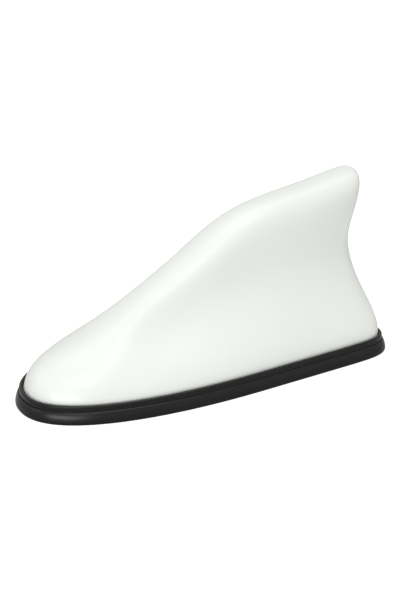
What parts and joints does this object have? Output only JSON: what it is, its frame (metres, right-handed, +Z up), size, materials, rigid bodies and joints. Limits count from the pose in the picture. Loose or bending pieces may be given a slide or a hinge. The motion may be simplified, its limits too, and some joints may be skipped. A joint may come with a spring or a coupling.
{
  "type": "shark fin aerial",
  "caption": "Stick-on shark fin aerial for a car roof: a white painted fin on a black rubber skirt, with amplifier and coil inside.",
  "frame": {"origin": "middle of the underside, on the plane of the roof", "axes": "+X from the nose to the tail along the fin, +Y across the car, +Z up from the roof"},
  "size_m": [0.16, 0.0694, 0.0736],
  "materials": {
    "white_paint": "gloss clear coat over white paint",
    "black_rubber": "smooth moulded rubber with a soft sheen",
    "black_nylon": "fine matt moulding grain",
    "grey_foam": "closed-cell foam with an acrylic adhesive face",
    "zinc_steel": "zinc plated",
    "tinned_steel": "tinned sheet",
    "green_board": "solder mask over glass laminate",
    "chip_epoxy": "moulded epoxy",
    "ferrite": "sintered ferrite",
    "capacitor_can": "drawn can",
    "brass_part": "bright pressed or turned brass",
    "copper_wire": "lacquered copper wire",
    "ivory_plastic": "satin moulding"
  },
  "bodies": {
    "root": {"fin_cover": "white_paint", "rubber_skirt": "black_rubber", "base_plate": "black_nylon", "adhesive_pad": "grey_foam", "cover_screws": "zinc_steel", "amplifier_board": "green_board", "board_screws": "zinc_steel", "shield_can": "tinned_steel", "amplifier_chip": "chip_epoxy", "filter_coils": "ferrite", "capacitors": "capacitor_can", "cable_socket": "brass_part", "cable_grommet": "black_rubber", "cable_clamp": "black_nylon", "clamp_screws": "zinc_steel", "element_carrier": "ivory_plastic", "carrier_screws": "zinc_steel", "top_load_plate": "tinned_steel", "coil_former": "ivory_plastic", "coil_element": "copper_wire", "contact_clip": "brass_part"}
  },
  "joints": []
}
